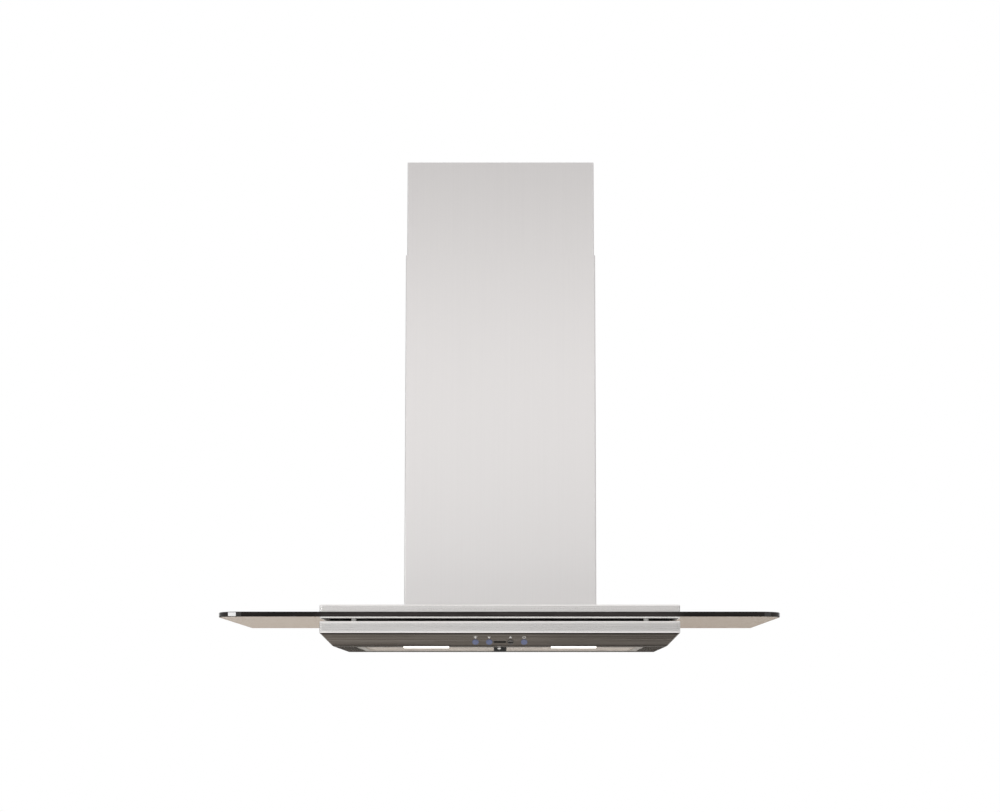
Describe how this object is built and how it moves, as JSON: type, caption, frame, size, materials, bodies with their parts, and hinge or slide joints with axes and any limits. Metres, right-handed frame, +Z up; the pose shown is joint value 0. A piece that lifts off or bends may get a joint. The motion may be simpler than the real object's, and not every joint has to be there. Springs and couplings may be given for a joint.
{
  "type": "wall mount range hood",
  "caption": "Wall mount range hood with a flat glass canopy, bevelled steel body with push keys and lamps, hinged mesh grease filter, blower and telescoping chimney.",
  "frame": {"origin": "on the wall plane, on the centre line, level with the flat underside of the body", "axes": "+X to the right as seen from the front, +Y into the wall, +Z up along the chimney"},
  "size_m": [0.9, 0.5, 0.8398],
  "materials": {
    "light_steel": "fine brushed",
    "dark_steel": "brushed, darker",
    "canopy_glass": "polished, clear",
    "zinc_steel": "galvanised",
    "screw_steel": "bright zinc",
    "filter_metal": "satin",
    "motor_paint": "satin black",
    "blower_plastic": "moulded",
    "white_plastic": "moulded",
    "board": "circuit board",
    "soft_rubber": "matt",
    "key_cap": "translucent satin",
    "display_black": "gloss",
    "lamp_white": "frosted, lit",
    "latch_black": "gloss"
  },
  "bodies": {
    "hood": {"blower_chassis": "zinc_steel", "blower_scroll": "blower_plastic", "body_gasket": "soft_rubber", "cable_bushing": "soft_rubber", "canopy_frame": "light_steel", "capacitor": "filter_metal", "capacitor_clip": "zinc_steel", "chassis_screws": "screw_steel", "chimney_clips": "zinc_steel", "chimney_screws": "screw_steel", "clamp_nuts": "screw_steel", "clamp_screws": "screw_steel", "control_board": "board", "control_carrier": "blower_plastic", "damper_pin": "zinc_steel", "deck_gasket": "soft_rubber", "display_window": "display_black", "duct_collar": "blower_plastic", "glass_bushes": "white_plastic", "glass_canopy": "canopy_glass", "inlet_ring": "blower_plastic", "junction_box": "zinc_steel", "junction_cover": "zinc_steel", "key_switches": "board", "lamp_board_left": "board", "lamp_board_right": "board", "lamp_housing_left": "white_plastic", "lamp_housing_right": "white_plastic", "lamp_lens_left": "lamp_white", "lamp_lens_right": "lamp_white", "led_driver": "white_plastic", "lower_chimney_cover": "light_steel", "motor": "motor_paint", "motor_bracket": "zinc_steel", "motor_screws": "screw_steel", "pan_screws": "screw_steel", "skirt_pan": "dark_steel", "top_deck": "light_steel"},
    "upper_chimney": {"upper_chimney_cover": "light_steel", "upper_wall_bracket": "zinc_steel", "upper_cover_screws": "screw_steel"},
    "grease_filter": {"filter_frame": "filter_metal", "filter_mesh": "filter_metal"},
    "filter_latch": {"latch_knob": "latch_black", "latch_spring": "screw_steel"},
    "blower_rotor": {"blower_wheel": "blower_plastic", "motor_shaft": "screw_steel"},
    "damper_front": {"damper_flap_front": "blower_plastic"},
    "damper_rear": {"damper_flap_rear": "blower_plastic"},
    "light_key": {"button_light": "key_cap"},
    "slower_key": {"button_slower": "key_cap"},
    "faster_key": {"button_faster": "key_cap"},
    "power_key": {"button_power": "key_cap"}
  },
  "joints": [
    {"name": "chimney_slide", "type": "slide", "parent": "hood", "child": "upper_chimney", "axis": [0, 0, 1], "range_m": [-0.15, 0.25]},
    {"name": "filter_hinge", "type": "hinge", "parent": "hood", "child": "grease_filter", "pos_m": [0, -0.0616, 0.0015], "axis": [1, 0, 0], "range_deg": [0, 75], "deforming": ["latch_spring"]},
    {"name": "latch_slide", "type": "slide", "parent": "grease_filter", "child": "filter_latch", "axis": [0, 1, 0], "range_m": [0, 0.008]},
    {"name": "blower_spin", "type": "hinge", "parent": "hood", "child": "blower_rotor", "pos_m": [0, -0.13953, 0.1768], "axis": [1, 0, 0], "continuous": true},
    {"name": "damper_front_hinge", "type": "hinge", "parent": "hood", "child": "damper_front", "pos_m": [0, -0.13953, 0.34], "axis": [-1, 0, 0], "range_deg": [0, 80]},
    {"name": "damper_rear_hinge", "type": "hinge", "parent": "hood", "child": "damper_rear", "pos_m": [0, -0.13953, 0.34], "axis": [1, 0, 0], "range_deg": [0, 80]},
    {"name": "light_press", "type": "slide", "parent": "hood", "child": "light_key", "axis": [0, 0.7207, 0.6933], "range_m": [0, 0.0008], "stiffness_N_per_m": 300, "springref_m": -0.001},
    {"name": "slower_press", "type": "slide", "parent": "hood", "child": "slower_key", "axis": [0, 0.7207, 0.6933], "range_m": [0, 0.0008], "stiffness_N_per_m": 300, "springref_m": -0.001},
    {"name": "faster_press", "type": "slide", "parent": "hood", "child": "faster_key", "axis": [0, 0.7207, 0.6933], "range_m": [0, 0.0008], "stiffness_N_per_m": 300, "springref_m": -0.001},
    {"name": "power_press", "type": "slide", "parent": "hood", "child": "power_key", "axis": [0, 0.7207, 0.6933], "range_m": [0, 0.0008], "stiffness_N_per_m": 300, "springref_m": -0.001}
  ]
}
